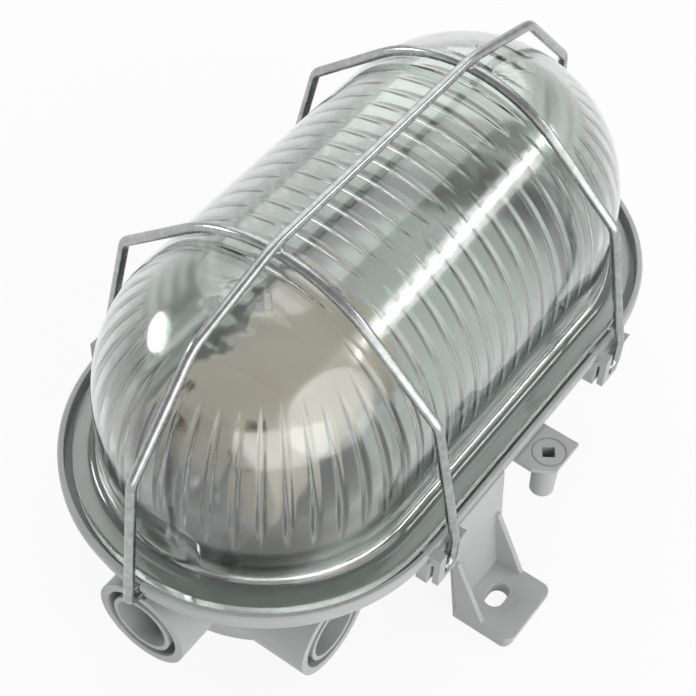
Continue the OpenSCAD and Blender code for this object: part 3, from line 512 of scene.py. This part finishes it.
def ribHeight(tree, place, radius):
    # Height of the ribs over the inner wall, in mm, from the place of a point on the plain wall
    d = dome
    x, y, z = splitVector(tree, place)
    pastEnd = calc(tree, "SUBTRACT", calc(tree, "ABSOLUTE", x), d["halfLen"])
    atEnd = calc(tree, "GREATER_THAN", pastEnd, d["endSlack"])
    rise = calc(tree, "SUBTRACT", z, d["axisZ"])
    spread = calc(tree, "ABSOLUTE", y)

    # Ribs that stand on the wall: one each pitch on the straight part, one each turnStep round the ends
    bays = math.floor(d["halfLen"] / d["ribPitch"] - 0.5 - d["leastBay"]) + 0.5
    beside = calc(tree, "PINGPONG", x, d["ribPitch"] / 2)
    lastBay = calc(tree, "LESS_THAN", bays * d["ribPitch"], calc(tree, "ABSOLUTE", x))
    beside = choose(tree, lastBay, beside, calc(tree, "ABSOLUTE", pastEnd))
    turnStep = math.pi / d["endRibs"]
    turn = calc(tree, "ARCTAN2", pastEnd, spread)
    besideTurn = calc(tree, "MULTIPLY", calc(tree, "PINGPONG", turn, turnStep / 2), radius)
    across = choose(tree, atEnd, beside, besideTurn)
    short = calc(tree, "MULTIPLY", atEnd, calc(tree, "GREATER_THAN", turn, turnStep / 2))
    longDrop = 1 - math.cos(math.radians(d["topLong"]))
    shortDrop = 1 - math.cos(math.radians(d["topShort"]))
    reach = choose(tree, short, longDrop, shortDrop)
    level = calc(tree, "DIVIDE", radius, d["inner"])
    above = calc(tree, "DIVIDE", calc(tree, "SUBTRACT", 1.0, level), reach)
    below = calc(tree, "DIVIDE", rise, -d["ribFoot"])
    wallDrop = choose(tree, calc(tree, "GREATER_THAN", rise, 0.0), below, above)

    # Ribs over the crown, half a pitch aside, and shorter ones past each end
    overTop = calc(tree, "PINGPONG", calc(tree, "ADD", x, d["ribPitch"] / 2), d["ribPitch"] / 2)
    topDrop = calc(tree, "DIVIDE", calc(tree, "SUBTRACT", 1.0, calc(tree, "DIVIDE", rise, d["inner"])),
                   1 - math.cos(math.radians(d["crownHalf"])))
    lean = calc(tree, "ARCTAN2", pastEnd, rise)
    away = calc(tree, "SQRT", calc(tree, "ADD", calc(tree, "MULTIPLY", pastEnd, pastEnd),
                                   calc(tree, "MULTIPLY", rise, rise)))
    steps = calc(tree, "MULTIPLY", calc(tree, "SINE", lean), d["inner"] / d["ribPitch"])
    stepNumber = calc(tree, "MAXIMUM", calc(tree, "ROUND", steps), 1.0)
    stepNumber = calc(tree, "MINIMUM", stepNumber, d["endCrowns"])
    stepLean = calc(tree, "ARCSINE", calc(tree, "MULTIPLY", stepNumber, d["ribPitch"] / d["inner"]))
    overEnd = calc(tree, "MULTIPLY", away, calc(tree, "SINE", calc(tree, "SUBTRACT", lean, stepLean)))
    widest = d["endCrownHalf"] + d["endCrownLess"]
    halfTurn = calc(tree, "RADIANS", calc(tree, "MULTIPLY_ADD", stepNumber, -d["endCrownLess"], widest))
    endDrop = calc(tree, "DIVIDE", calc(tree, "SUBTRACT", 1.0, calc(tree, "DIVIDE", away, d["inner"])),
                   calc(tree, "SUBTRACT", 1.0, calc(tree, "COSINE", halfTurn)))
    crownAcross = choose(tree, atEnd, overTop, overEnd)
    crownDrop = choose(tree, atEnd, topDrop, endDrop)

    def profile(aside, drop):
        # Round back, sunk in the wall by how far the rib has run out
        inside = calc(tree, "SUBTRACT", d["ribRadius"] ** 2, calc(tree, "MULTIPLY", aside, aside))
        back = calc(tree, "SQRT", calc(tree, "MAXIMUM", inside, 0.0))
        proud = calc(tree, "MULTIPLY_ADD", drop, d["ribFade"] - d["ribProud"], d["ribProud"] - d["ribRadius"])
        return calc(tree, "ADD", back, proud)

    best = calc(tree, "MAXIMUM", profile(across, wallDrop), profile(crownAcross, crownDrop))
    return calc(tree, "MAXIMUM", best, 0.0)


def makeDomeTree():
    # A grid wrapped round the oval: its columns follow the base and its rows the section
    tree, given, out = newNodeTree("ribbedDome", (
        ("Section", "Object"), ("Half Length", "Float"), ("Axis Height", "Float"), ("Material", "Material")))
    nodes, link = tree.nodes, tree.links.new

    def size(geometry):
        node = nodes.new("GeometryNodeAttributeDomainSize")
        link(geometry, node.inputs[0])
        return node.outputs["Point Count"]

    def sample(geometry, index):
        node = nodes.new("GeometryNodeSampleIndex")
        node.data_type = "FLOAT_VECTOR"
        place = nodes.new("GeometryNodeInputPosition")
        link(geometry, node.inputs["Geometry"])
        link(place.outputs[0], node.inputs["Value"])
        link(index, node.inputs["Index"])
        return splitVector(tree, scaleVector(tree, node.outputs[0], 1 / mm))

    info = nodes.new("GeometryNodeObjectInfo")
    link(given.outputs["Section"], info.inputs["Object"])
    section = info.outputs["Geometry"]
    columns = size(given.outputs["Geometry"])
    rows = size(section)
    grid = nodes.new("GeometryNodeMeshGrid")
    grid.inputs["Size X"].default_value = 1.0
    grid.inputs["Size Y"].default_value = 1.0
    link(calc(tree, "ADD", columns, 1.0), grid.inputs["Vertices X"])
    link(rows, grid.inputs["Vertices Y"])

    here = splitVector(tree, nodes.new("GeometryNodeInputPosition").outputs[0])
    column = calc(tree, "ROUND", calc(tree, "MULTIPLY", calc(tree, "ADD", here[0], 0.5), columns))
    column = calc(tree, "FLOORED_MODULO", column, columns)
    lastRow = calc(tree, "SUBTRACT", rows, 1.0)
    row = calc(tree, "ROUND", calc(tree, "MULTIPLY", calc(tree, "ADD", here[1], 0.5), lastRow))
    px, py, pz = sample(given.outputs["Geometry"], column)
    radius, inner, height = sample(section, row)

    half = given.outputs["Half Length"]
    centreX = calc(tree, "MINIMUM", calc(tree, "MAXIMUM", px, calc(tree, "MULTIPLY", half, -1.0)), half)
    offX = calc(tree, "SUBTRACT", px, centreX)
    squares = [calc(tree, "MULTIPLY", value, value) for value in (offX, py)]
    share = calc(tree, "DIVIDE", radius, calc(tree, "SQRT", calc(tree, "ADD", *squares)))
    wallX = calc(tree, "MULTIPLY_ADD", offX, share, centreX)
    plain = joinVector(tree, wallX, calc(tree, "MULTIPLY", py, share), height)

    # The inner wall is pushed towards its axis by the height of the ribs
    axis = joinVector(tree, centreX, 0.0, calc(tree, "MINIMUM", height, given.outputs["Axis Height"]))
    unit = vectorCalc(tree, "NORMALIZE", vectorCalc(tree, "SUBTRACT", axis, plain))
    push = scaleVector(tree, unit, calc(tree, "MULTIPLY", ribHeight(tree, plain, radius), inner))
    moved = vectorCalc(tree, "ADD", plain, push)

    place = nodes.new("GeometryNodeSetPosition")
    link(grid.outputs[0], place.inputs["Geometry"])
    link(scaleVector(tree, moved, mm), place.inputs["Position"])
    merge = nodes.new("GeometryNodeMergeByDistance")
    merge.inputs["Distance"].default_value = dome["doubles"] * mm
    link(place.outputs[0], merge.inputs["Geometry"])
    outward = nodes.new("GeometryNodeFlipFaces")
    link(merge.outputs[0], outward.inputs[0])
    surface = shadeSmooth(tree, outward.outputs[0], dome["sharpAngle"])
    endTree(tree, out, surface, given.outputs["Material"])
    return tree


def makeDome(material):
    section = meshObject("glassSection", glassSection())
    values = {"Section": section, "Half Length": dome["halfLen"], "Axis Height": dome["axisZ"],
              "Material": material}
    oval = meshObject("domeOval", ovalColumns(), closed=True)
    grow("ribbedGlassDome", oval, makeDomeTree(), values, "base", ("glass_dome",))
    bpy.data.objects.remove(section)


guard = {
    # in mm
    "wire": 2.6,
    "sides": 20,
    "bendStep": 6.0,         # degrees
    "leastSteps": 3,         # in the smallest bend
    "sharpAngle": 50.0,      # degrees
    "hoopX": 37.4,
    "toeY": 52.3,
    "toeZ": 27.6,
    "toeLen": 3.6,
    "toeBend": 2.6,
    "hip": (52.3, 36.0),     # of a hoop, distance from the middle and height
    "shoulder": (44.5, 72.0),
    "crownTop": 98.5,        # height of the hoops' crown
    "crownRadius": 38.0,
    "bend": 5.0,
    "longTop": 100.7,        # height of the long wire, straight to longFlat on each side
    "longFlat": 38.2,
    "longPath": ((65.3, 93.0), (87.3, 68.1), (92.0, 26.4), (87.6, 26.4)),
    "longBends": (20.0, 8.0, 5.0, 2.6),
    "beadWide": 1.9,         # half width of the squeezed metal at a weld
    "beadHigh": 0.6,
    "beadSides": 16,
    "beadRings": 8,
}


def bentPath(corners, radii):
    # Path through the corners in mm, each of them rounded with its radius
    points = [Vector(corners[0])]
    for i, radius in enumerate(radii, 1):
        before, corner, after = (Vector(c) for c in corners[i - 1:i + 2])
        u = (corner - before).normalized()
        v = (after - corner).normalized()
        turn = u.angle(v)
        inward = (v - u * u.dot(v)).normalized()
        start = corner - u * radius * math.tan(turn / 2)
        steps = max(guard["leastSteps"], math.ceil(math.degrees(turn) / guard["bendStep"]))
        for k in range(steps + 1):
            a = turn * k / steps
            points.append(start + inward * radius * (1 - math.cos(a)) + u * radius * math.sin(a))
    points.append(Vector(corners[-1]))
    return [tuple(point) for point in points]


def hoopPath(x):
    hipY, hipZ = guard["hip"]
    shoulderY, shoulderZ = guard["shoulder"]
    centre = guard["crownTop"] - guard["crownRadius"]
    reach = math.hypot(shoulderY, shoulderZ - centre)
    lean = math.atan2(shoulderZ - centre, shoulderY) + math.acos(guard["crownRadius"] / reach)
    apex = centre + guard["crownRadius"] / math.sin(lean)
    toeY, toeZ = guard["toeY"], guard["toeZ"]
    half = [(x - guard["toeLen"], -toeY, toeZ), (x, -toeY, toeZ), (x, -hipY, hipZ),
            (x, -shoulderY, shoulderZ)]
    corners = half + [(x, 0, apex)] + [(a, -b, c) for a, b, c in reversed(half)]
    radii = (guard["toeBend"], guard["bend"], guard["bend"])
    return bentPath(corners, (*radii, guard["crownRadius"], *reversed(radii)))


def longPath():
    half = [(guard["longFlat"], 0, guard["longTop"])] + [(x, 0, z) for x, z in guard["longPath"]]
    corners = [(-x, y, z) for x, y, z in reversed(half)] + half
    radii = guard["longBends"]
    return bentPath(corners, (*reversed(radii), *radii))


def makeWireTree():
    # A round wire swept along the path of its base
    tree, given, out = newNodeTree("sweptWire", (
        ("Wire Diameter", "Float"), ("Sides", "Int"), ("Material", "Material")))
    nodes, link = tree.nodes, tree.links.new
    path = nodes.new("GeometryNodeMeshToCurve")
    link(given.outputs["Geometry"], path.inputs["Mesh"])
    ring = nodes.new("GeometryNodeCurvePrimitiveCircle")
    link(given.outputs["Sides"], ring.inputs["Resolution"])
    link(calc(tree, "MULTIPLY", given.outputs["Wire Diameter"], 0.5 * mm), ring.inputs["Radius"])
    sweep = nodes.new("GeometryNodeCurveToMesh")
    sweep.inputs["Fill Caps"].default_value = True
    link(path.outputs[0], sweep.inputs["Curve"])
    link(ring.outputs[0], sweep.inputs["Profile Curve"])
    surface = shadeSmooth(tree, sweep.outputs[0], guard["sharpAngle"])
    endTree(tree, out, surface, given.outputs["Material"])
    return tree


def makeBeadTree():
    # A flat bead of squeezed metal at each point of the base
    tree, given, out = newNodeTree("weldBeads", (
        ("Width", "Float"), ("Height", "Float"), ("Material", "Material")))
    nodes, link = tree.nodes, tree.links.new
    ball = nodes.new("GeometryNodeMeshUVSphere")
    ball.inputs["Segments"].default_value = guard["beadSides"]
    ball.inputs["Rings"].default_value = guard["beadRings"]
    ball.inputs["Radius"].default_value = mm
    smooth = nodes.new("GeometryNodeSetShadeSmooth")
    link(ball.outputs[0], smooth.inputs["Geometry"])
    width, height = given.outputs["Width"], given.outputs["Height"]
    put = nodes.new("GeometryNodeInstanceOnPoints")
    link(given.outputs["Geometry"], put.inputs["Points"])
    link(smooth.outputs[0], put.inputs["Instance"])
    link(joinVector(tree, width, width, height), put.inputs["Scale"])
    endTree(tree, out, put.outputs[0], given.outputs["Material"])
    return tree


def makeGuard(material):
    tree = makeWireTree()
    values = {"Wire Diameter": guard["wire"], "Sides": guard["sides"], "Material": material}
    for name, path, node in (("frontHoop", hoopPath(-guard["hoopX"]), "guard_front_hoop"),
                             ("rearHoop", hoopPath(guard["hoopX"]), "guard_rear_hoop"),
                             ("longWire", longPath(), "guard_long_wire")):
        grow(name, meshObject(name + "Path", path), tree, values, "guard", (node,))
    level = (guard["crownTop"] + guard["longTop"]) / 2
    places = [(-guard["hoopX"], 0, level), (guard["hoopX"], 0, level)]
    beads = {"Width": guard["beadWide"], "Height": guard["beadHigh"], "Material": material}
    crossings = meshObject("crossings", places, chain=False)
    grow("weldBeads", crossings, makeBeadTree(), beads, "guard")


smoothing = {
    "doubles": 0.002,        # mm, points nearer to each other than this are one
    "sharpAngle": 30.0,      # degrees
}


def smoothCopy(node, name, body, material):
    # The node's own shape with its doubles merged, so that curved faces shade smoothly
    mesh = bpy.data.meshes.new(name)
    work = bmesh.new()
    work.from_mesh(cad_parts[node].data)
    bmesh.ops.remove_doubles(work, verts=work.verts, dist=smoothing["doubles"] * mm)
    limit = math.radians(smoothing["sharpAngle"])
    for face in work.faces:
        face.smooth = True
    for edge in work.edges:
        edge.smooth = len(edge.link_faces) == 2 and edge.calc_face_angle(0.0) < limit
    work.to_mesh(mesh)
    work.free()
    piece = bpy.data.objects.new(name, mesh)
    scene.collection.objects.link(piece)
    mesh.materials.append(material)
    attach(piece, body)
    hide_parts(node)


nodeFinish = {
    "reflector_screw": "platedSteel",
    "centre_contact": "brass",
    "holder_terminals": "brass",
    "holder_terminal_screws": "platedSteel",
    "holder_bracket": "platedSteel",
    "holder_screws": "platedSteel",
    "bracket_screws": "platedSteel",
    "terminal_strip": "stripPlastic",
    "terminal_tubes": "brass",
    "terminal_screws": "platedSteel",
    "strip_screw": "platedSteel",
}

smoothPieces = {
    # node: (piece, slot, finish)
    "housing": ("mouldedHousing", "housing_plastic", "housingPlastic"),
    "gasket": ("sealRing", "gasket_rubber", "gasketRubber"),
    "reflector": ("reflectorTray", "reflector_sheet", "reflectorSheet"),
    "lampholder": ("holderBody", "holder_porcelain", "holderPorcelain"),
    "lampholder_shell": ("threadShell", "shell_brass", "brass"),
    "live_lead": ("brownLead", "brown_sleeve", "brownSleeve"),
    "neutral_lead": ("greyLead", "grey_sleeve", "greySleeve"),
}


def dressNodes(materials):
    for node, finish in nodeFinish.items():
        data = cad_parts[node].data
        data.materials.clear()
        data.materials.append(materials[finish])
    for node, (piece, slot, finish) in smoothPieces.items():
        smoothCopy(node, piece, "base", materials[finish])


makeGrainGroup()
makeCamera()
makeStudio()
makeFloor()
print("stage: camera, studio and floor are in place")

materials = {name: makeFinish(name) for name in finishes}
dressNodes(materials)
print("stage: the nodes have their finishes")

makeDome(makeGlass())
makeGuard(materials["guardWire"])
